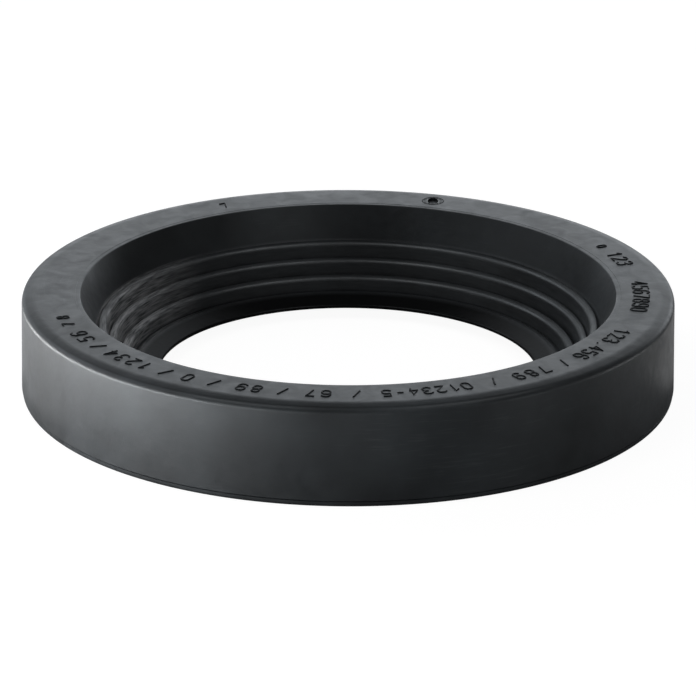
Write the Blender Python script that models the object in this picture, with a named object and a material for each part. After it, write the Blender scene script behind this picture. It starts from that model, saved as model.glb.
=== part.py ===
"""Rubber sealing ring for a pipe of about 100 mm: one moulded piece.

The ring lies flat with its wide mouth upwards. A smooth cone leads the pipe in, four
stepped lips grip it, and a thin fin under them closes the hole. Units are metres, +Z is
up, and the origin is the middle of the underside.
"""

import math

import bmesh
import bpy
from mathutils import Vector

# Outside of the ring
OUTER_DIAMETER = 0.142  # where the top face and the wall would meet without their round
HEIGHT = 0.022
WALL_DRAFT = math.radians(1.0)  # the wall leans outwards on its way down
TOP_SLOPE_WIDTH = 0.0026  # the rim of the top face falls away this far in from the wall
TOP_SLOPE_FALL = 0.00065
TOP_SLOPE_ROUND = 0.005
TOP_EDGE_ROUND = 0.0015
PARTING_HEIGHT = 0.0014  # the line where the two mould halves met
PARTING_STEP = 0.00015  # the foot below that line is set back by this much
FOOT_EDGE_ROUND = 0.0006

# Mouth and hole
MOUTH_DIAMETER = 0.1167
MOUTH_EDGE_ROUND = 0.0003
HOLE_DIAMETER = 0.083

# Fin at the bottom, from its tip outwards
FIN_CLEARANCE = 0.0026  # the fin's underside above the underside of the ring
FIN_TIP_THICKNESS = 0.0008
FIN_REACH = 0.00485  # from the tip out to the lowest lip
FIN_RISE = 0.0016
RECESS_DIAMETER = 0.103  # the recess that lets the fin bend, at the underside
RECESS_DRAFT = math.radians(8.0)
RECESS_ROUND = 0.0006

# Stepped lips, each (further out, further up) than the one below it
LIP_STEPS = (
    (0.0025, 0.00299),
    (0.0027, 0.00325),
    (0.0021, 0.00352),
)
LOWEST_LIP_SHARE = 0.4  # the lowest lip's size over the others' size
SHOULDER_REACH = 0.00065  # a lip's outer shoulder, out from the lip's middle
SHOULDER_ROUND = 0.0003
NOSE_REACH = 0.00095  # its nose, in from the lip's middle
NOSE_FALL = 0.00008
NOSE_ROUND = 0.0011
GROOVE_REACH = 0.001  # the groove behind the highest lip
GROOVE_DEPTH = 0.0009
FACE_LEAN = 0.00035  # the face under a nose comes this much inwards on its way down

# Fineness of the mesh
RING_SEGMENTS = 96
CURVE_TOLERANCE = 0.00004
SHARP_ANGLE = math.radians(40.0)

RUBBER_COLOUR = (0.022, 0.023, 0.024, 1.0)
RUBBER_ROUGHNESS = 0.42


def clear_scene():
    """Removes every object that the scene starts with."""
    for existing in list(bpy.data.objects):
        bpy.data.objects.remove(existing, do_unlink=True)


def lip_corners():
    """Groove, shoulder and nose of each lip as (radius, height, round), from the top down."""
    radius = HOLE_DIAMETER / 2 + FIN_REACH
    height = FIN_CLEARANCE + FIN_TIP_THICKNESS + FIN_RISE
    lips = [(radius, height, LOWEST_LIP_SHARE)]
    for step_out, step_up in LIP_STEPS:
        radius += step_out
        height += step_up
        lips.append((radius, height, 1.0))
    corners = []
    for radius, height, share in reversed(lips):
        groove_radius = radius + GROOVE_REACH
        if corners:
            groove_radius = corners[-1][0] - FACE_LEAN
        shoulder_radius = radius + SHOULDER_REACH * share
        nose_radius = radius - NOSE_REACH * share
        corners.append((groove_radius, height - GROOVE_DEPTH * share, 0.0))
        corners.append((shoulder_radius, height, SHOULDER_ROUND * share))
        corners.append((nose_radius, height - NOSE_FALL * share, NOSE_ROUND * share))
    return corners


def inner_corners():
    """Corners of the mouth, the lips and the fin as (radius, height, round), from the top down."""
    tip_round = FIN_TIP_THICKNESS * 0.45
    tip_top = FIN_CLEARANCE + FIN_TIP_THICKNESS
    corners = [(MOUTH_DIAMETER / 2, HEIGHT, MOUTH_EDGE_ROUND)]
    corners.extend(lip_corners())
    corners.append((HOLE_DIAMETER / 2, tip_top, tip_round))
    corners.append((HOLE_DIAMETER / 2, FIN_CLEARANCE, tip_round))
    return corners


def outer_corners():
    """Corners of the recess, the underside and the wall, from the fin outwards and up."""
    recess_foot = RECESS_DIAMETER / 2
    recess_top = recess_foot - FIN_CLEARANCE * math.tan(RECESS_DRAFT)
    wall_lean = math.tan(WALL_DRAFT)
    parting_radius = OUTER_DIAMETER / 2 + (HEIGHT - PARTING_HEIGHT) * wall_lean
    foot_radius = parting_radius - PARTING_STEP
    edge_radius = OUTER_DIAMETER / 2 + TOP_SLOPE_FALL * wall_lean
    return [
        (recess_top, FIN_CLEARANCE, RECESS_ROUND),
        (recess_foot, 0.0, 0.0),
        (foot_radius, 0.0, FOOT_EDGE_ROUND),
        (foot_radius, PARTING_HEIGHT - PARTING_STEP, 0.0),
        (parting_radius, PARTING_HEIGHT, 0.0),
        (edge_radius, HEIGHT - TOP_SLOPE_FALL, TOP_EDGE_ROUND),
        (OUTER_DIAMETER / 2 - TOP_SLOPE_WIDTH, HEIGHT, TOP_SLOPE_ROUND),
    ]


def rounded_corner(before, corner, after, radius):
    """Points of the arc that rounds a corner, or the corner itself if it is sharp."""
    if radius == 0.0:
        return [corner]
    to_before = before - corner
    to_after = after - corner
    turn = math.pi - to_before.angle(to_after)
    leg = radius * math.tan(turn / 2)
    start = corner + to_before.normalized() * leg
    bisector = (to_before.normalized() + to_after.normalized()).normalized()
    centre = corner + bisector * math.hypot(radius, leg)
    arm = start - centre
    side = to_before.x * to_after.y - to_before.y * to_after.x
    sweep = math.copysign(turn, -side)
    largest_step = 2 * math.acos(1 - CURVE_TOLERANCE / max(radius, CURVE_TOLERANCE))
    steps = math.ceil(turn / largest_step)
    points = []
    for step in range(steps + 1):
        angle = sweep * step / steps
        cosine = math.cos(angle)
        sine = math.sin(angle)
        turned = Vector((arm.x * cosine - arm.y * sine, arm.x * sine + arm.y * cosine))
        points.append(centre + turned)
    return points


def section_outline():
    """The ring's whole section as points of (radius, height), its corners rounded."""
    corners = inner_corners() + outer_corners()
    places = [Vector((radius, height)) for radius, height, _ in corners]
    outline = []
    for index, (_, _, radius) in enumerate(corners):
        before = places[index - 1]
        after = places[(index + 1) % len(places)]
        outline.extend(rounded_corner(before, places[index], after, radius))
    return outline


def turned_mesh(name, outline):
    """A closed outline of (radius, height) turned once about the Z axis."""
    shape = bmesh.new()
    corners = [shape.verts.new((point.x, 0.0, point.y)) for point in outline]
    edges = []
    for index, corner in enumerate(corners):
        edges.append(shape.edges.new((corners[index - 1], corner)))
    bmesh.ops.spin(
        shape,
        geom=corners + edges,
        cent=(0.0, 0.0, 0.0),
        axis=(0.0, 0.0, 1.0),
        angle=math.tau,
        steps=RING_SEGMENTS,
        use_merge=True,
    )
    bmesh.ops.recalc_face_normals(shape, faces=shape.faces)
    mesh = bpy.data.meshes.new(name)
    shape.to_mesh(mesh)
    shape.free()
    mesh.shade_smooth()
    mesh.set_sharp_from_angle(angle=SHARP_ANGLE)
    return mesh


def rubber():
    """Black moulded rubber, satin from the mould."""
    material = bpy.data.materials.new("moulded_rubber")
    material.use_nodes = True
    shader = material.node_tree.nodes["Principled BSDF"]
    shader.inputs["Base Color"].default_value = RUBBER_COLOUR
    shader.inputs["Roughness"].default_value = RUBBER_ROUGHNESS
    shader.inputs["Metallic"].default_value = 0.0
    return material


def sealing_ring():
    """The ring itself, lying on its underside."""
    mesh = turned_mesh("sealing_ring", section_outline())
    mesh.materials.append(rubber())
    ring = bpy.data.objects.new("sealing_ring", mesh)
    bpy.context.scene.collection.objects.link(ring)
    return ring


clear_scene()
sealing_ring()
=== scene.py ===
"""Rubber sealing ring: its looks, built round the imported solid.

The ring is one moulding of black rubber that lies on its underside with the wide
mouth upwards. Sizes are in millimetres and become metres where they meet the mesh.
"""

from __future__ import annotations

import logging
import math
from dataclasses import dataclass

import bmesh
import bpy
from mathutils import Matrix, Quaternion, Vector

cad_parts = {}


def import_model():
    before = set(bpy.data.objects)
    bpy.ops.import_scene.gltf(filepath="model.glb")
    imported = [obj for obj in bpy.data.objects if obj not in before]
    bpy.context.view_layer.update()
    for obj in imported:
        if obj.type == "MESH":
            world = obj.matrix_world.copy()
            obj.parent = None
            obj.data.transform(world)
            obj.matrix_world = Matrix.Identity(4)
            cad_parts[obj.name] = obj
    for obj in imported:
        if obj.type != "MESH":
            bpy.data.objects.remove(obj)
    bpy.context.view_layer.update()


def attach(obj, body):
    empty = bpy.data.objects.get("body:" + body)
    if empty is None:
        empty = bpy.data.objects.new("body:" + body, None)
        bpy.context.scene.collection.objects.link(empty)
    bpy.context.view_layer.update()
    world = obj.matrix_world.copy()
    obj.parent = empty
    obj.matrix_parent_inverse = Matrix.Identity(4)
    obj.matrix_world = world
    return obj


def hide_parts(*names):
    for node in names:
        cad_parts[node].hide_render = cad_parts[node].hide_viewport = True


LOG = logging.getLogger("sealing_ring")
MM = 0.001
MERGE_DISTANCE = 0.001 * MM
STROKE_ROUNDNESS = 3
MARK_SHARP_DEG = 50.0
COOL = "f5faff"  # the light of the lamps behind the ring and to its left


def linear_colour(hex_colour: str) -> tuple[float, float, float, float]:
    """Turns an sRGB hex colour into the linear colour that a shader takes.

    Args:
        hex_colour: Six hex digits, such as "1d1e20".

    Returns:
        Red, green, blue and an alpha of 1.
    """
    channels = [int(hex_colour[start : start + 2], 16) / 255 for start in (0, 2, 4)]
    red, green, blue = [
        value / 12.92 if value <= 0.04045 else ((value + 0.055) / 1.055) ** 2.4
        for value in channels
    ]
    return red, green, blue, 1.0


def add_node(
    tree: bpy.types.NodeTree,
    kind: str,
    settings: dict[str, object] | None = None,
    inputs: dict[str | int, object] | None = None,
) -> bpy.types.Node:
    """Adds a node with its settings, values and links.

    Args:
        tree: The node tree that takes the node.
        kind: The node's type name.
        settings: Attributes of the node itself.
        inputs: A value, or another node's output socket, for each input.

    Returns:
        The new node.
    """
    node = tree.nodes.new(kind)
    for name, value in (settings or {}).items():
        setattr(node, name, value)
    for name, value in (inputs or {}).items():
        if isinstance(value, bpy.types.NodeSocket):
            tree.links.new(value, node.inputs[name])
        else:
            node.inputs[name].default_value = value
    return node


def deselect_all() -> None:
    """Leaves nothing selected, so that an operator acts on one piece only."""
    bpy.ops.object.select_all(action="DESELECT")


def make_active(piece: bpy.types.Object) -> None:
    """Selects one piece alone and makes it the active one.

    Args:
        piece: The piece that the next operator acts on.
    """
    deselect_all()
    piece.select_set(True)
    bpy.context.view_layer.objects.active = piece


@dataclass(frozen=True)
class Corner:
    """One corner of an outline that is drawn in the XZ plane, in millimetres.

    Attributes:
        radius: Distance from the ring's axis.
        height: Height above the underside.
        rounding: Radius of the round on the corner, or 0 where it is sharp.
    """

    radius: float
    height: float
    rounding: float = 0.0

    def place(self) -> Vector:
        """The corner's place in the XZ plane, in metres."""
        return Vector((self.radius * MM, 0.0, self.height * MM))


def round_corner(before: Vector, corner: Corner, after: Vector, steps: int) -> None:
    """Carries an outline's selected end vertex to a corner and round it.

    Args:
        before: The corner that the outline comes from.
        corner: The corner that is rounded.
        after: The corner that the outline goes to next.
        steps: The edges in the round.
    """
    to_before = (before - corner.place()).normalized()
    to_after = (after - corner.place()).normalized()
    turn = math.pi - to_before.angle(to_after)
    run = corner.rounding * MM * math.tan(turn / 2)
    start = corner.place() + to_before * run
    extrude_vertex_to(start)
    if corner.rounding > 0.0:
        inward = (to_before + to_after).normalized()
        centre = corner.place() + inward * corner.rounding * MM / math.cos(turn / 2)
        axis = to_before.cross(to_after).normalized()
        bpy.ops.mesh.spin(steps=steps, angle=turn, center=centre, axis=axis)


def extrude_vertex_to(place: Vector) -> None:
    """Extrudes the selected end vertex of an outline to a place.

    Args:
        place: Where the new end vertex lies, in metres.
    """
    mesh = bmesh.from_edit_mesh(bpy.context.edit_object.data)
    end = next(vertex for vertex in mesh.verts if vertex.select)
    step = place - end.co
    bpy.ops.mesh.extrude_region_move(TRANSFORM_OT_translate={"value": step})


def joined(pieces: list[bpy.types.Object], name: str) -> bpy.types.Object:
    """Joins pieces into one object, which is left active.

    Args:
        pieces: The pieces, in the order in which their meshes follow each other.
        name: The joined object's name.

    Returns:
        The joined object.
    """
    make_active(pieces[0])
    for piece in pieces[1:]:
        piece.select_set(True)
    if len(pieces) > 1:
        bpy.ops.object.join()
    whole = bpy.context.object
    whole.name = name
    return whole


def round_stroke(places: list[Vector], radius: float) -> bpy.types.Object:
    """Models a round bar along a path, closed where the path ends where it starts.

    Args:
        places: The path's points, in metres.
        radius: The bar's radius, in metres.

    Returns:
        The bar as a mesh object.
    """
    start_outline("stroke", places[0])
    for place in places[1:]:
        extrude_vertex_to(place)
    bpy.ops.mesh.select_all(action="SELECT")
    bpy.ops.mesh.remove_doubles(threshold=MERGE_DISTANCE)
    bpy.ops.object.mode_set(mode="OBJECT")
    bpy.ops.object.convert(target="CURVE")
    stroke = bpy.context.object
    stroke.data.bevel_depth = radius
    stroke.data.bevel_resolution = STROKE_ROUNDNESS
    stroke.data.use_fill_caps = True
    bpy.ops.object.convert(target="MESH")
    return bpy.context.object


def start_outline(name: str, place: Vector) -> bpy.types.Object:
    """Starts an outline in edit mode with one selected vertex.

    Args:
        name: The new object's name.
        place: The vertex's place, in metres.

    Returns:
        The object, in edit mode.
    """
    deselect_all()
    bpy.ops.mesh.primitive_plane_add(size=MM, location=place)
    outline = bpy.context.object
    outline.name = name
    bpy.ops.object.transform_apply(location=True, rotation=False, scale=False)
    bpy.ops.object.mode_set(mode="EDIT")
    bpy.ops.mesh.select_all(action="SELECT")
    bpy.ops.mesh.merge(type="CENTER")
    return outline


def draw_outline(name: str, corners: list[Corner], steps: int) -> bpy.types.Object:
    """Draws a closed outline of edges with rounded corners in the XZ plane.

    Args:
        name: The new object's name.
        corners: The outline's corners in order, starting with a sharp one.
        steps: The edges in each round.

    Returns:
        The object, in edit mode, with its outline closed.
    """
    places = [corner.place() for corner in corners]
    outline = start_outline(name, places[0])
    for index, corner in enumerate(corners[1:], start=1):
        after = places[(index + 1) % len(places)]
        round_corner(places[index - 1], corner, after, steps)
    extrude_vertex_to(places[0])
    bpy.ops.mesh.select_all(action="SELECT")
    bpy.ops.mesh.remove_doubles(threshold=MERGE_DISTANCE)
    return outline


@dataclass(frozen=True)
class SurfacePlace:
    """Node sockets that say where on the ring a shaded point lies.

    Attributes:
        point: The point itself.
        side: Its X.
        height: Its Z.
        radius: Its distance from the ring's axis.
        heading: The direction from the axis to it, of length 1.
    """

    point: bpy.types.NodeSocket
    side: bpy.types.NodeSocket
    height: bpy.types.NodeSocket
    radius: bpy.types.NodeSocket
    heading: bpy.types.NodeSocket

    @classmethod
    def add_to(cls, tree: bpy.types.NodeTree) -> SurfacePlace:
        """Adds the nodes that work the place out from Object coordinates.

        Args:
            tree: The node tree that takes the nodes.

        Returns:
            The place's sockets.
        """
        point = add_node(tree, "ShaderNodeTexCoord").outputs["Object"]
        axes = add_node(tree, "ShaderNodeSeparateXYZ", inputs={"Vector": point})
        flat = add_node(
            tree,
            "ShaderNodeVectorMath",
            settings={"operation": "MULTIPLY"},
            inputs={0: point, 1: (1.0, 1.0, 0.0)},
        ).outputs["Vector"]
        radius = add_node(
            tree,
            "ShaderNodeVectorMath",
            settings={"operation": "LENGTH"},
            inputs={0: flat},
        ).outputs["Value"]
        heading = add_node(
            tree,
            "ShaderNodeVectorMath",
            settings={"operation": "NORMALIZE"},
            inputs={0: flat},
        ).outputs["Vector"]
        return cls(point, axes.outputs["X"], axes.outputs["Z"], radius, heading)


@dataclass(frozen=True)
class RubberZones:
    """Masks that are 1 in one zone of the ring and 0 outside it.

    Attributes:
        lips: The stepped lips.
        fin: The fin under them.
        film: The left side, where the release agent stayed and where the lips' colour is
            made lighter as painted light.
    """

    lips: bpy.types.NodeSocket
    fin: bpy.types.NodeSocket
    film: bpy.types.NodeSocket


@dataclass(frozen=True)
class MouldedRubber:
    """Black rubber, compression moulded: satin where the mould was polished.

    The eye sees a near-black body whose brightness is mostly the room's reflection.
    Sulphur and wax that come to the surface leave a faint uneven grey bloom. Handling
    smears and scuffs it, so the gloss changes slowly from place to place. The lips at the
    left keep a film of release agent, in streaks that follow the ring round; its grey is
    also painted light there, making the lips at the left lighter than elsewhere. The fin
    under the lips is smoother, and its colour is darker as painted shade.

    The real grain is too fine to show, so grain_mm is as coarse as it needs to be.
    """

    body: str = "111315"
    bloom: str = "2b2f32"
    # Grey of the scuffs and the release agent streaks, and painted light: it makes the lips
    # at the left lighter
    release_and_painted_light: str = "a6a7a9"
    # Painted shade: the fin deep inside the ring gets this darker colour
    fin_painted_shade: str = "070708"
    sheen: str = "f5fbff"
    roughness: float = 0.43
    roughness_spread: float = 0.05
    film_roughness: float = 0.55
    fin_roughness: float = 0.32
    gloss: float = 0.5
    lip_gloss: float = 0.85
    film_gloss: float = 0.35
    fin_gloss: float = 0.2
    bloom_patch_mm: float = 26.0
    bloom_range: tuple[float, float] = (0.4, 0.75)
    smear_mm: float = 5.0
    smear_range: tuple[float, float] = (0.3, 0.7)
    streak_length_deg: float = 5.0
    streak_width_mm: float = 0.35
    streak_range: tuple[float, float] = (0.3, 0.7)
    # Share of the grey on the lips away from the left and at the left; the larger share at
    # the left is painted light
    streak_least: float = 0.05
    streak_most: float = 1.0
    handled_range: tuple[float, float] = (0.5, 0.6)
    scuff_range: tuple[float, float] = (0.55, 0.72)
    scuff_most: float = 0.035
    film_start_mm: float = 33.0
    film_full_mm: float = 49.0
    lip_top_mm: float = 15.0
    lip_radius_mm: float = 57.0
    fin_top_mm: float = 4.6
    fin_radius_mm: float = 47.0
    zone_blend_mm: float = 0.6
    wave_mm: float = 9.0
    wave_height_mm: float = 0.018
    mottle_mm: float = 1.8
    mottle_height_mm: float = 0.03
    grain_mm: float = 0.35
    grain_height_mm: float = 0.004
    ior: float = 1.5

    def material(self, name: str) -> bpy.types.Material:
        """Builds the rubber's node material under a name.

        Args:
            name: The material's name.

        Returns:
            The material.
        """
        material = bpy.data.materials.new(name)
        material.use_nodes = True
        tree = material.node_tree
        tree.nodes.clear()
        place = SurfacePlace.add_to(tree)
        zones = self.zones(tree, place)
        shader = add_node(
            tree,
            "ShaderNodeBsdfPrincipled",
            inputs={
                "Base Color": self.colour(tree, place, zones),
                "Roughness": self.smeared_roughness(tree, place, zones),
                "IOR": self.ior,
                "Specular IOR Level": self.gloss_level(tree, zones),
                "Specular Tint": linear_colour(self.sheen),
                "Normal": self.relief(tree, place),
            },
        )
        add_node(
            tree, "ShaderNodeOutputMaterial", inputs={"Surface": shader.outputs["BSDF"]}
        )
        return material

    def zones(self, tree: bpy.types.NodeTree, place: SurfacePlace) -> RubberZones:
        """Adds the masks of the lips, the fin and the release film.

        Args:
            tree: The node tree that takes the nodes.
            place: Where the shaded point lies on the ring.

        Returns:
            The masks' sockets.
        """
        blend = self.zone_blend_mm
        fin_edge = self.fin_top_mm + blend
        lip_limits = (
            (place.height, self.lip_top_mm, self.lip_top_mm - blend),
            (place.height, self.fin_top_mm, fin_edge),
            (place.radius, self.lip_radius_mm, self.lip_radius_mm - blend),
        )
        fin_limits = (
            (place.height, fin_edge, self.fin_top_mm),
            (place.radius, self.fin_radius_mm, self.fin_radius_mm - blend),
        )
        film_limits = ((place.side, -self.film_start_mm, -self.film_full_mm),)
        return RubberZones(
            self.share_within(tree, lip_limits),
            self.share_within(tree, fin_limits),
            self.share_within(tree, film_limits),
        )

    def share_within(
        self,
        tree: bpy.types.NodeTree,
        limits: tuple[tuple[bpy.types.NodeSocket, float, float], ...],
    ) -> bpy.types.NodeSocket:
        """Adds a mask that is 1 in one zone of the ring and 0 outside it.

        Args:
            tree: The node tree that takes the mask.
            limits: For each side of the zone its coordinate, and in millimetres where
                the mask is 0 and where it reaches 1.

        Returns:
            The mask's socket.
        """
        share: bpy.types.NodeSocket | float = 1.0
        for coordinate, outside_mm, inside_mm in limits:
            share = add_node(
                tree,
                "ShaderNodeMapRange",
                inputs={
                    "Value": coordinate,
                    "From Min": outside_mm * MM,
                    "From Max": inside_mm * MM,
                    "To Max": share,
                },
            ).outputs["Result"]
        return share

    def gloss_level(
        self, tree: bpy.types.NodeTree, zones: RubberZones
    ) -> bpy.types.NodeSocket:
        """Adds the gloss: more on the lips, less under the film and on the fin.

        Args:
            tree: The node tree that takes the nodes.
            zones: The masks of the ring's zones.

        Returns:
            The socket of the gloss.
        """
        lip_gloss = add_node(
            tree,
            "ShaderNodeMapRange",
            inputs={
                "Value": zones.film,
                "To Min": self.lip_gloss,
                "To Max": self.film_gloss,
            },
        ).outputs["Result"]
        level: bpy.types.NodeSocket | float = self.gloss
        for share, zone_gloss in ((zones.lips, lip_gloss), (zones.fin, self.fin_gloss)):
            level = add_node(
                tree,
                "ShaderNodeMapRange",
                inputs={"Value": share, "To Min": level, "To Max": zone_gloss},
            ).outputs["Result"]
        return level

    def smeared_roughness(
        self, tree: bpy.types.NodeTree, place: SurfacePlace, zones: RubberZones
    ) -> bpy.types.NodeSocket:
        """Adds the roughness: smeared, dull under the film and smooth on the fin.

        Args:
            tree: The node tree that takes the nodes.
            place: Where the shaded point lies on the ring.
            zones: The masks of the ring's zones.

        Returns:
            The socket of the roughness.
        """
        smears = add_node(
            tree,
            "ShaderNodeTexNoise",
            inputs={
                "Vector": place.point,
                "Scale": 1 / (self.smear_mm * MM),
                "Detail": 3.0,
                "Distortion": 1.2,
            },
        ).outputs["Fac"]
        smeared = add_node(
            tree,
            "ShaderNodeMapRange",
            inputs={
                "Value": smears,
                "From Min": self.smear_range[0],
                "From Max": self.smear_range[1],
                "To Min": self.roughness - self.roughness_spread,
                "To Max": self.roughness + self.roughness_spread,
            },
        ).outputs["Result"]
        filmed = add_node(
            tree,
            "ShaderNodeMapRange",
            inputs={
                "Value": zones.film,
                "To Min": smeared,
                "To Max": self.film_roughness,
            },
        ).outputs["Result"]
        roughness = smeared
        for share, zone_roughness in (
            (zones.lips, filmed),
            (zones.fin, self.fin_roughness),
        ):
            roughness = add_node(
                tree,
                "ShaderNodeMapRange",
                inputs={"Value": share, "To Min": roughness, "To Max": zone_roughness},
            ).outputs["Result"]
        return roughness

    def colour(
        self, tree: bpy.types.NodeTree, place: SurfacePlace, zones: RubberZones
    ) -> bpy.types.NodeSocket:
        """Adds the body colour under the bloom, the scuffs and the release agent, with
        painted light on the lips at the left and painted shade on the fin.

        Args:
            tree: The node tree that takes the nodes.
            place: Where the shaded point lies on the ring.
            zones: The masks of the ring's zones.

        Returns:
            The socket of the colour.
        """
        patches = add_node(
            tree,
            "ShaderNodeTexNoise",
            inputs={
                "Vector": place.point,
                "Scale": 1 / (self.bloom_patch_mm * MM),
                "Detail": 4.0,
            },
        ).outputs["Fac"]
        bloomed = add_node(
            tree,
            "ShaderNodeMapRange",
            inputs={
                "Value": patches,
                "From Min": self.bloom_range[0],
                "From Max": self.bloom_range[1],
            },
        ).outputs["Result"]
        skin = add_node(
            tree,
            "ShaderNodeMix",
            settings={"data_type": "RGBA"},
            inputs={
                "Factor": bloomed,
                6: linear_colour(self.body),
                7: linear_colour(self.bloom),
            },
        ).outputs[2]
        streaks = self.streaks(tree, place)
        handled = add_node(
            tree,
            "ShaderNodeMapRange",
            inputs={
                "Value": patches,
                "From Min": self.handled_range[0],
                "From Max": self.handled_range[1],
                "To Max": self.scuff_most,
            },
        ).outputs["Result"]
        scuffs = add_node(
            tree,
            "ShaderNodeMapRange",
            inputs={
                "Value": streaks,
                "From Min": self.scuff_range[0],
                "From Max": self.scuff_range[1],
                "To Max": handled,
            },
        ).outputs["Result"]
        # Painted light: the lips at the left get the full grey, so that side renders lighter
        film_kept_and_painted_light = add_node(
            tree,
            "ShaderNodeMapRange",
            inputs={
                "Value": zones.film,
                "To Min": self.streak_least,
                "To Max": self.streak_most,
            },
        ).outputs["Result"]
        film = add_node(
            tree,
            "ShaderNodeMapRange",
            inputs={
                "Value": streaks,
                "From Min": self.streak_range[0],
                "From Max": self.streak_range[1],
                "To Max": film_kept_and_painted_light,
            },
        ).outputs["Result"]
        share = add_node(
            tree,
            "ShaderNodeMapRange",
            inputs={"Value": zones.lips, "To Min": scuffs, "To Max": film},
        ).outputs["Result"]
        filmed = add_node(
            tree,
            "ShaderNodeMix",
            settings={"data_type": "RGBA"},
            inputs={"Factor": share, 6: skin, 7: linear_colour(self.release_and_painted_light)},
        ).outputs[2]
        # Painted shade: the fin's colour is darkened where shade falls deep inside the ring
        return add_node(
            tree,
            "ShaderNodeMix",
            settings={"data_type": "RGBA"},
            inputs={"Factor": zones.fin, 6: filmed, 7: linear_colour(self.fin_painted_shade)},
        ).outputs[2]

    def streaks(
        self, tree: bpy.types.NodeTree, place: SurfacePlace
    ) -> bpy.types.NodeSocket:
        """Adds a noise that is drawn out round the ring, without a seam.

        Args:
            tree: The node tree that takes the nodes.
            place: Where the shaded point lies on the ring.

        Returns:
            The socket of the noise, from 0 to 1.
        """
        turned = add_node(
            tree,
            "ShaderNodeVectorMath",
            settings={"operation": "SCALE"},
            inputs={0: place.heading, "Scale": math.degrees(1.0) / self.streak_length_deg},
        ).outputs["Vector"]
        fineness = 1 / (self.streak_width_mm * MM)
        raised = add_node(
            tree,
            "ShaderNodeVectorMath",
            settings={"operation": "MULTIPLY_ADD"},
            inputs={0: place.point, 1: (0.0, 0.0, fineness), 2: turned},
        ).outputs["Vector"]
        outward = add_node(
            tree,
            "ShaderNodeMath",
            settings={"operation": "MULTIPLY"},
            inputs={0: place.radius, 1: fineness},
        ).outputs["Value"]
        return add_node(
            tree,
            "ShaderNodeTexNoise",
            settings={"noise_dimensions": "4D"},
            inputs={"Vector": raised, "W": outward, "Scale": 1.0, "Detail": 3.0},
        ).outputs["Fac"]

    def relief(
        self, tree: bpy.types.NodeTree, place: SurfacePlace
    ) -> bpy.types.NodeSocket:
        """Adds the waves of shrinkage, the uneven skin and the grain as bump.

        Args:
            tree: The node tree that takes the nodes.
            place: Where the shaded point lies on the ring.

        Returns:
            The socket of the bumped normal.
        """
        normal: bpy.types.NodeSocket | None = None
        for size_mm, height_mm in (
            (self.wave_mm, self.wave_height_mm),
            (self.mottle_mm, self.mottle_height_mm),
            (self.grain_mm, self.grain_height_mm),
        ):
            ripples = add_node(
                tree,
                "ShaderNodeTexNoise",
                inputs={"Vector": place.point, "Scale": 1 / (size_mm * MM)},
            ).outputs["Fac"]
            under = {"Normal": normal} if normal else {}
            normal = add_node(
                tree,
                "ShaderNodeBump",
                inputs={"Distance": height_mm * MM, "Height": ripples, **under},
            ).outputs["Normal"]
        return normal


RING_RUBBER = MouldedRubber()
MARK_RUBBER = MouldedRubber(
    body="17191b", bloom="17191b", roughness=0.65, gloss=0.22, scuff_most=0.0
)


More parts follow.
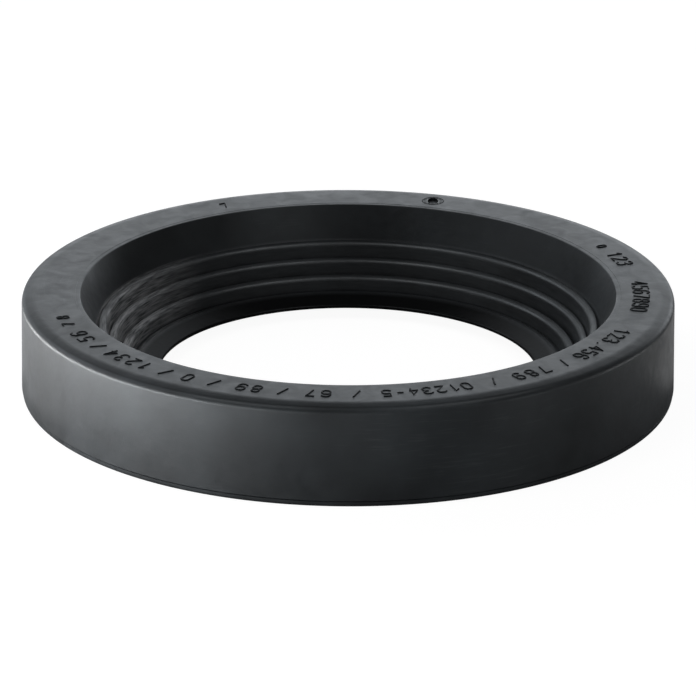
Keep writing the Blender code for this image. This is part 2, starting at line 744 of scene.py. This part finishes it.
@dataclass
class SealingRing:
    """The moulded ring: wall, top face, entry cone, stepped lips and fin."""

    outer_diameter: float = 142.0
    height: float = 22.0
    wall_draft_deg: float = 1.0
    top_slope_width: float = 2.6
    top_slope_fall: float = 0.65
    top_slope_round: float = 5.0
    top_edge_round: float = 1.5
    parting_height: float = 1.4
    parting_step: float = 0.15
    parting_gap: float = 0.3
    parting_groove: float = 0.5
    foot_edge_round: float = 0.6
    mouth_diameter: float = 116.7
    mouth_edge_round: float = 0.3
    land_diameter: float = 118.8
    land_fall: float = 0.04
    hole_diameter: float = 83.0
    fin_clearance: float = 2.6
    fin_tip_thickness: float = 0.8
    fin_tip_round: float = 0.36
    fin_reach: float = 4.85
    fin_rise: float = 1.6
    recess_diameter: float = 103.0
    recess_draft_deg: float = 8.0
    recess_round: float = 0.6
    lip_steps: tuple[tuple[float, float], ...] = ((2.5, 2.99), (2.7, 3.25), (2.1, 3.52))
    lowest_lip_share: float = 0.4
    shoulder_reach: float = 0.65
    shoulder_round: float = 0.3
    nose_reach: float = 0.95
    nose_fall: float = 0.08
    nose_round: float = 1.1
    groove_reach: float = 1.0
    groove_depth: float = 0.9
    face_lean: float = 0.35
    round_segments: int = 8
    turn_segments: int = 360
    sharp_angle_deg: float = 35.0

    def lip_corners(self) -> list[Corner]:
        """Groove, shoulder and nose of each lip, from the highest lip to the lowest.

        Returns:
            Three corners for each lip.
        """
        tip_top = self.fin_clearance + self.fin_tip_thickness
        radius = self.hole_diameter / 2 + self.fin_reach
        height = tip_top + self.fin_rise
        lips = [(radius, height, self.lowest_lip_share)]
        for step_out, step_up in self.lip_steps:
            radius += step_out
            height += step_up
            lips.append((radius, height, 1.0))
        corners: list[Corner] = []
        for radius, height, share in reversed(lips):
            groove_radius = radius + self.groove_reach
            if corners:
                groove_radius = corners[-1].radius - self.face_lean
            corners += [
                Corner(groove_radius, height - self.groove_depth * share),
                Corner(
                    radius + self.shoulder_reach * share,
                    height,
                    self.shoulder_round * share,
                ),
                Corner(
                    radius - self.nose_reach * share,
                    height - self.nose_fall * share,
                    self.nose_round * share,
                ),
            ]
        return corners

    def inner_corners(self) -> list[Corner]:
        """Corners of the mouth, the lips and the fin, from the top down.

        Returns:
            The corners, from the top face to the underside of the fin's tip.
        """
        hole_radius = self.hole_diameter / 2
        tip_top = self.fin_clearance + self.fin_tip_thickness
        land_radius = self.land_diameter / 2
        land_height = self.height - self.land_fall
        return [
            Corner(land_radius, self.height),
            Corner(land_radius - self.land_fall, land_height),
            Corner(self.mouth_diameter / 2, land_height, self.mouth_edge_round),
            *self.lip_corners(),
            Corner(hole_radius, tip_top, self.fin_tip_round),
            Corner(hole_radius, self.fin_clearance, self.fin_tip_round),
        ]

    def outer_corners(self) -> list[Corner]:
        """Corners of the recess, the underside and the wall, outwards and up.

        Returns:
            The corners, from the top of the recess to the top face.
        """
        recess_foot = self.recess_diameter / 2
        recess_lean = self.fin_clearance * math.tan(math.radians(self.recess_draft_deg))
        wall_lean = math.tan(math.radians(self.wall_draft_deg))
        wall_run = self.height - self.parting_height
        parting_radius = self.outer_diameter / 2 + wall_run * wall_lean
        foot_radius = parting_radius - self.parting_step
        return [
            Corner(recess_foot - recess_lean, self.fin_clearance, self.recess_round),
            Corner(recess_foot, 0.0),
            Corner(foot_radius, 0.0, self.foot_edge_round),
            Corner(foot_radius, self.parting_height - self.parting_gap),
            Corner(parting_radius - self.parting_groove, self.parting_height),
            Corner(parting_radius, self.parting_height),
            Corner(
                self.outer_diameter / 2 + self.top_slope_fall * wall_lean,
                self.height - self.top_slope_fall,
                self.top_edge_round,
            ),
            Corner(
                self.outer_diameter / 2 - self.top_slope_width,
                self.height,
                self.top_slope_round,
            ),
        ]

    def build(self, finish: bpy.types.Material) -> bpy.types.Object:
        """Draws the section and spins it once about the ring's axis.

        Args:
            finish: The rubber's material.

        Returns:
            The finished ring, its place in its mesh.
        """
        recess_top, *outer = self.outer_corners()
        corners = [*outer, *self.inner_corners(), recess_top]
        ring = draw_outline("ring_moulding", corners, self.round_segments)
        bpy.ops.mesh.spin(
            steps=self.turn_segments,
            angle=math.tau,
            center=(0.0, 0.0, 0.0),
            axis=(0.0, 0.0, 1.0),
        )
        bpy.ops.mesh.select_all(action="SELECT")
        bpy.ops.mesh.remove_doubles(threshold=MERGE_DISTANCE)
        bpy.ops.mesh.normals_make_consistent(inside=False)
        bpy.ops.object.mode_set(mode="OBJECT")
        bpy.ops.object.shade_smooth_by_angle(angle=math.radians(self.sharp_angle_deg))
        ring.data.materials.append(finish)
        return ring


# Each character is one stroke or more on a grid, its lower left corner at (0, 0)
STROKE_GRID = (4.0, 7.0)
STROKES: dict[str, tuple[tuple[tuple[float, float], ...], ...]] = {
    "0": (
        ((1, 0), (3, 0), (4, 1.2), (4, 5.8), (3, 7), (1, 7), (0, 5.8), (0, 1.2), (1, 0)),
    ),
    "1": (((0.4, 5.4), (2.2, 7), (2.2, 0)),),
    "2": (((0, 5.9), (1, 7), (3, 7), (4, 5.9), (4, 4.6), (0, 0), (4, 0)),),
    "3": (
        ((0, 6), (1, 7), (3, 7), (4, 6), (4, 4.7), (3, 3.8), (1.6, 3.8)),
        ((3, 3.8), (4, 2.8), (4, 1), (3, 0), (1, 0), (0, 1)),
    ),
    "4": (((3, 0), (3, 7), (0, 2), (4, 2)),),
    "5": (
        ((4, 7), (0.4, 7), (0.2, 4), (3, 4.2), (4, 3.2), (4, 1.1), (3, 0), (1, 0), (0, 1)),
    ),
    "6": (
        ((4, 6), (3, 7), (1.2, 7), (0, 5.6), (0, 1.2), (1, 0), (3, 0)),
        ((3, 0), (4, 1.1), (4, 2.9), (3, 4), (1, 4), (0, 3)),
    ),
    "7": (((0, 7), (4, 7), (1.4, 0)),),
    "8": (
        ((1, 0), (3, 0), (4, 1), (4, 2.8), (3, 3.8), (1, 3.8), (0, 2.8), (0, 1), (1, 0)),
        ((3, 3.8), (3.7, 4.7), (3.7, 6.1), (3, 7), (1, 7), (0.3, 6.1), (0.3, 4.7), (1, 3.8)),
    ),
    "9": (
        ((0, 1), (1, 0), (2.8, 0), (4, 1.4), (4, 5.8), (3, 7), (1, 7)),
        ((1, 7), (0, 5.9), (0, 4.1), (1, 3), (3, 3), (4, 4)),
    ),
    "/": (((0.4, 0), (3.6, 7)),),
    ".": (((1.7, 0.2), (2.3, 0.2)),),
    "-": (((0.6, 3.5), (3.4, 3.5)),),
}


@dataclass(frozen=True)
class MarkRun:
    """A run of evenly spaced characters on the top face.

    Attributes:
        characters: The characters, as they read clockwise from above.
        start_deg: The angle where the run starts, anticlockwise from +X.
        end_deg: The angle where it ends.
        size: The characters' height over the usual height.
    """

    characters: str
    start_deg: float
    end_deg: float
    size: float = 1.0


@dataclass
class MouldedMarks:
    """Plain counted digits, raised on the top face like the numbers round a dial."""

    top_height: float = SealingRing.height
    middle_radius: float = 63.8
    character_height: float = 3.4
    character_width: float = 1.75
    stroke_width: float = 0.44
    stroke_sink: float = 0.02
    runs: tuple[MarkRun, ...] = (
        MarkRun("7", 118.0, 115.0, 0.8),
        MarkRun("0", 28.8, 25.8, 0.65),
        MarkRun("123", 23.1, 15.0),
        MarkRun("4567890", 5.5, -12.4),
        MarkRun("123.456", -22.9, -41.4),
        MarkRun("/", -44.0, -46.0),
        MarkRun("789", -48.9, -57.8),
        MarkRun("/", -60.8, -62.8),
        MarkRun("01234-5", -66.2, -84.1),
        MarkRun("/", -87.4, -89.4),
        MarkRun("67", -92.6, -98.2),
        MarkRun("/", -101.1, -103.1),
        MarkRun("89", -105.6, -111.5),
        MarkRun("/", -114.6, -116.6),
        MarkRun("0", -119.5, -123.0),
        MarkRun("/", -125.3, -127.3),
        MarkRun("1234", -130.0, -142.4),
        MarkRun("/", -144.5, -146.5),
        MarkRun("56", -148.4, -155.1),
        MarkRun("78", -157.1, -165.1, 0.75),
    )

    def glyph(self, character: str) -> bpy.types.Object:
        """Models one character at the origin, flat, as round raised strokes.

        Args:
            character: A key of STROKES.

        Returns:
            The character's mesh object, centred on the origin.
        """
        unit_x = self.character_width / STROKE_GRID[0] * MM
        unit_y = self.character_height / STROKE_GRID[1] * MM
        middle_x, middle_y = STROKE_GRID[0] / 2, STROKE_GRID[1] / 2
        strokes = []
        for points in STROKES[character]:
            places = [
                Vector(((x - middle_x) * unit_x, (y - middle_y) * unit_y, 0.0))
                for x, y in points
            ]
            strokes.append(round_stroke(places, radius=self.stroke_width * MM / 2))
        return joined(strokes, f"glyph_{ord(character)}")

    def build(self, finish: bpy.types.Material) -> bpy.types.Object:
        """Models each character once and copies it to its places round the ring.

        Args:
            finish: The rubber's material.

        Returns:
            All the characters as one piece, their places in their mesh.
        """
        characters = sorted(set("".join(run.characters for run in self.runs)))
        glyphs = {character: self.glyph(character) for character in characters}
        copies = []
        for run in self.runs:
            pitch = (run.end_deg - run.start_deg) / len(run.characters)
            for index, character in enumerate(run.characters):
                angle = math.radians(run.start_deg + pitch * (index + 0.5))
                copies.append(self.place_copy(glyphs[character], angle, run.size))
        for glyph in glyphs.values():
            bpy.data.objects.remove(glyph)
        marks = joined(copies, "moulded_marks")
        bpy.ops.object.shade_smooth_by_angle(angle=math.radians(MARK_SHARP_DEG))
        marks.data.materials.append(finish)
        return marks

    def place_copy(
        self, glyph: bpy.types.Object, angle: float, size: float
    ) -> bpy.types.Object:
        """Copies a character to its angle on the ring, its top towards the rim.

        Args:
            glyph: The character at the origin.
            angle: Where the copy goes, in radians anticlockwise from +X.
            size: The copy's size over the usual size.

        Returns:
            The copy, its place in its mesh.
        """
        make_active(glyph)
        bpy.ops.object.duplicate()
        copy = bpy.context.object
        radius = self.middle_radius * MM
        copy.location = (
            radius * math.cos(angle),
            radius * math.sin(angle),
            (self.top_height - self.stroke_sink) * MM,
        )
        copy.rotation_euler = (0.0, 0.0, angle - math.pi / 2)
        copy.scale = (size, size, 1.0)
        bpy.ops.object.transform_apply(location=True, rotation=True, scale=True)
        return copy


@dataclass
class DateDial:
    """The mark of the mould's date insert: a sunk centre inside a ring of ticks."""

    top_height: float = SealingRing.height
    middle_radius: float = 64.0
    angle_deg: float = 72.3
    rim_diameter: float = 4.9
    rim_width: float = 0.18
    rim_steps: int = 48
    tick_count: int = 12
    tick_width: float = 0.126
    tick_length: float = 0.5
    tick_circle: float = 3.9
    sink_width: float = 2.4
    sink_length: float = 4.6
    sink_depth: float = 0.6
    sink_turn_deg: float = 88.0

    def centre(self) -> Vector:
        """Works out where the dial's centre lies.

        Returns:
            The centre's place on the top face, in metres.
        """
        angle = math.radians(self.angle_deg)
        radius = self.middle_radius * MM
        return Vector(
            (radius * math.cos(angle), radius * math.sin(angle), self.top_height * MM)
        )

    def sink_into(self, ring: bpy.types.Object) -> None:
        """Cuts the dial's sunk centre into the ring, with an oval cutter half in it.

        Args:
            ring: The moulding that is cut.
        """
        deselect_all()
        bpy.ops.mesh.primitive_cylinder_add(
            vertices=self.rim_steps,
            radius=self.sink_width * MM / 2,
            depth=2 * self.sink_depth * MM,
        )
        cutter = bpy.context.object
        cutter.location = self.centre()
        cutter.rotation_euler = (0.0, 0.0, math.radians(self.sink_turn_deg))
        cutter.scale = (self.sink_length / self.sink_width, 1.0, 1.0)
        bpy.ops.object.transform_apply(location=True, rotation=True, scale=True)
        make_active(ring)
        cut = ring.modifiers.new("sink", "BOOLEAN")
        cut.operation = "DIFFERENCE"
        cut.object = cutter
        bpy.ops.object.modifier_apply(modifier=cut.name)
        bpy.data.objects.remove(cutter)

    def build(self, finish: bpy.types.Material) -> bpy.types.Object:
        """Models the rim and the ticks.

        Args:
            finish: The rubber's material.

        Returns:
            The dial's raised lines as one piece.
        """
        centre = self.centre()
        circle = []
        for step in range(self.rim_steps + 1):
            turn = math.tau * step / self.rim_steps
            outward = Vector((math.cos(turn), math.sin(turn), 0.0))
            circle.append(centre + outward * self.rim_diameter * MM / 2)
        lines = [round_stroke(circle, radius=self.rim_width * MM / 2)]
        for tick in range(self.tick_count):
            turn = math.tau * tick / self.tick_count
            outward = Vector((math.cos(turn), math.sin(turn), 0.0))
            middle = centre + outward * self.tick_circle * MM / 2
            reach = outward * self.tick_length * MM / 2
            path = [middle - reach, middle + reach]
            lines.append(round_stroke(path, radius=self.tick_width * MM / 2))
        dial = joined(lines, "date_dial")
        bpy.ops.object.shade_smooth_by_angle(angle=math.radians(MARK_SHARP_DEG))
        dial.data.materials.append(finish)
        return dial


@dataclass(frozen=True)
class Softbox:
    """A rectangular studio lamp that points at the ring.

    Attributes:
        name: The lamp's name.
        azimuth_deg: Its side, from the camera's side anticlockwise as seen from above.
        elevation_deg: Its height as an angle over the floor.
        power: Its power, in watts.
        tint: The colour of its light.
        distance: How far away it stands, in metres.
        width: Its width, in metres.
        height: Its height, in metres.
    """

    name: str
    azimuth_deg: float
    elevation_deg: float
    power: float
    tint: str = "ffffff"
    distance: float = 1.5
    width: float = 0.75
    height: float = 0.6

    @classmethod
    def low_strip(cls, name: str, azimuth_deg: float, power: float) -> Softbox:
        """A narrow strip on the table, close to the ring, that lights its wall."""
        return cls(
            name, azimuth_deg, 0.1, power, distance=0.20, width=0.08, height=0.018
        )

    def build(self, aim: Vector) -> bpy.types.Object:
        """Adds the lamp, turned towards the aim.

        Args:
            aim: The place that the lamp points at, in metres.

        Returns:
            The lamp.
        """
        azimuth = math.radians(self.azimuth_deg)
        elevation = math.radians(self.elevation_deg)
        away = Vector(
            (
                math.sin(azimuth) * math.cos(elevation),
                -math.cos(azimuth) * math.cos(elevation),
                math.sin(elevation),
            )
        )
        deselect_all()
        bpy.ops.object.light_add(type="AREA", location=aim + away * self.distance)
        lamp = bpy.context.object
        lamp.name = self.name
        lamp.rotation_euler = away.to_track_quat("Z", "Y").to_euler()
        lamp.data.shape = "RECTANGLE"
        lamp.data.size = self.width
        lamp.data.size_y = self.height
        lamp.data.energy = self.power
        lamp.data.color = linear_colour(self.tint)[:3]
        lamp.visible_camera = False
        return lamp


@dataclass(frozen=True)
class TableGlow:
    """A patch of the table beside the ring that glows upwards, as a lit table does.

    Attributes:
        name: The lamp's name.
        middle: Its middle on the table, in millimetres.
        width: Its size along X, in millimetres.
        depth: Its size along Y, in millimetres.
        power: Its power, in watts.
        lift: Its height over the table, in millimetres.
    """

    name: str
    middle: tuple[float, float]
    width: float
    depth: float
    power: float
    lift: float = 0.3

    def build(self) -> bpy.types.Object:
        """Adds the lamp just over the table, facing up.

        Returns:
            The lamp.
        """
        deselect_all()
        bpy.ops.object.light_add(
            type="AREA",
            location=Vector((*self.middle, self.lift)) * MM,
            rotation=(math.pi, 0.0, 0.0),
        )
        lamp = bpy.context.object
        lamp.name = self.name
        lamp.data.shape = "RECTANGLE"
        lamp.data.size = self.width * MM
        lamp.data.size_y = self.depth * MM
        lamp.data.energy = self.power
        lamp.visible_camera = False
        return lamp


@dataclass
class Studio:
    """Camera, floor, world and lamps."""

    camera_distance_mm: float = 996.0
    camera_elevation_deg: float = 20.36
    camera_roll_deg: float = 0.2
    aim_height_mm: float = 8.4
    lens_mm: float = 235.3
    floor_size: float = 12.0
    floor_colour: str = "959595"
    floor_glow: float = 1.88
    floor_glow_share: float = 0.5
    world_strength: float = 0.06
    backdrop_strength: float = 1.0
    softboxes: tuple[Softbox, ...] = (
        Softbox("back_softbox", 180.0, 10.0, 2.5, COOL),
        Softbox("back_softbox_high", 180.0, 32.0, 1.25, COOL),
        Softbox("back_right", 150.0, 10.0, 2.75, COOL),
        Softbox("back_right_high", 150.0, 32.0, 0.46, COOL),
        Softbox("back_left", 210.0, 10.0, 1.2, COOL),
        Softbox("back_left_high", 210.0, 32.0, 0.38, COOL),
        Softbox("left_softbox", 240.0, 32.0, 2.6, COOL),
        Softbox("left_side", 270.0, 32.0, 0.77, COOL),
        Softbox("left_fill", 290.0, 5.0, 1.4),
        Softbox("right_fill", 90.0, 5.0, 0.45),
        Softbox("front_right", 30.0, 32.0, 0.83),
        Softbox("overhead_right", 60.0, 60.0, 2.8),
        Softbox("overhead_left", 300.0, 60.0, 3.5),
        Softbox.low_strip("strip_back_left", 250.0, 0.095),
        Softbox.low_strip("strip_left", 270.0, 0.135),
        Softbox.low_strip("strip_left_front", 290.0, 0.172),
        Softbox.low_strip("strip_front_left", 310.0, 0.110),
        Softbox.low_strip("strip_front", 330.0, 0.044),
        Softbox.low_strip("strip_middle", 0.0, 0.013),
        Softbox.low_strip("strip_front_right", 50.0, 0.0116),
        Softbox.low_strip("strip_right", 90.0, 0.017),
    )
    table_glows: tuple[TableGlow, ...] = (
        TableGlow("glow_left", (-102.0, 35.0), 50.0, 80.0, 0.006),
        TableGlow("glow_front_left", (-92.0, -24.0), 36.0, 36.0, 0.002),
        TableGlow("glow_right", (102.0, 35.0), 50.0, 80.0, 0.005),
    )

    def add_camera(self) -> bpy.types.Object:
        """Adds the camera at the photograph's viewing angle.

        Returns:
            The camera.
        """
        elevation = math.radians(self.camera_elevation_deg)
        away = Vector((0.0, -math.cos(elevation), math.sin(elevation)))
        aim = Vector((0.0, 0.0, self.aim_height_mm * MM))
        deselect_all()
        bpy.ops.object.camera_add(location=aim + away * self.camera_distance_mm * MM)
        camera = bpy.context.object
        roll = Quaternion(away, math.radians(self.camera_roll_deg))
        camera.rotation_euler = (roll @ away.to_track_quat("Z", "Y")).to_euler()
        camera.data.lens = self.lens_mm
        camera.data.clip_start = 0.01
        bpy.context.scene.camera = camera
        return camera

    def add_floor(self) -> bpy.types.Object:
        """Adds the pale floor that the ring lies on.

        Returns:
            The floor.
        """
        deselect_all()
        bpy.ops.mesh.primitive_plane_add(size=self.floor_size)
        floor = bpy.context.object
        floor.name = "floor"
        material = bpy.data.materials.new("pale_floor")
        material.use_nodes = True
        tree = material.node_tree
        tree.nodes.clear()
        paint = add_node(
            tree,
            "ShaderNodeBsdfDiffuse",
            inputs={"Color": linear_colour(self.floor_colour)},
        ).outputs["BSDF"]
        white = add_node(
            tree, "ShaderNodeEmission", inputs={"Strength": self.floor_glow}
        ).outputs["Emission"]
        seen = add_node(tree, "ShaderNodeLightPath").outputs["Is Camera Ray"]
        share = add_node(
            tree,
            "ShaderNodeMath",
            settings={"operation": "MULTIPLY"},
            inputs={0: seen, 1: self.floor_glow_share},
        ).outputs["Value"]
        mixed = add_node(
            tree, "ShaderNodeMixShader", inputs={0: share, 1: paint, 2: white}
        ).outputs["Shader"]
        add_node(tree, "ShaderNodeOutputMaterial", inputs={"Surface": mixed})
        floor.data.materials.append(material)
        return floor

    def add_world(self) -> None:
        """Lights the room evenly and shows white behind the ring."""
        world = bpy.data.worlds.new("studio")
        bpy.context.scene.world = world
        world.use_nodes = True
        tree = world.node_tree
        tree.nodes.clear()
        path = add_node(tree, "ShaderNodeLightPath")
        strength = add_node(
            tree,
            "ShaderNodeMix",
            inputs={
                "Factor": path.outputs["Is Camera Ray"],
                2: self.world_strength,
                3: self.backdrop_strength,
            },
        ).outputs[0]
        light = add_node(
            tree, "ShaderNodeBackground", inputs={"Strength": strength}
        ).outputs["Background"]
        add_node(tree, "ShaderNodeOutputWorld", inputs={"Surface": light})

    def build(self) -> None:
        """Sets up the whole studio."""
        bpy.context.scene.view_settings.view_transform = "Standard"
        self.add_world()
        self.add_floor()
        aim = Vector((0.0, 0.0, self.aim_height_mm * MM))
        for softbox in self.softboxes:
            softbox.build(aim)
        for glow in self.table_glows:
            glow.build()
        self.add_camera()


def main() -> None:
    """Builds the ring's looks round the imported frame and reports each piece."""
    logging.basicConfig(level=logging.INFO, format="%(name)s: %(message)s")
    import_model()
    rubber = RING_RUBBER.material("moulded_rubber")
    matte = MARK_RUBBER.material("matte_marks")
    ring = SealingRing().build(rubber)
    dial = DateDial()
    dial.sink_into(ring)
    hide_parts("sealing_ring")
    for piece in (ring, MouldedMarks().build(matte), dial.build(matte)):
        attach(piece, "root")
        LOG.info("%s: %d faces", piece.name, len(piece.data.polygons))
    Studio().build()


if __name__ == "__main__":
    main()
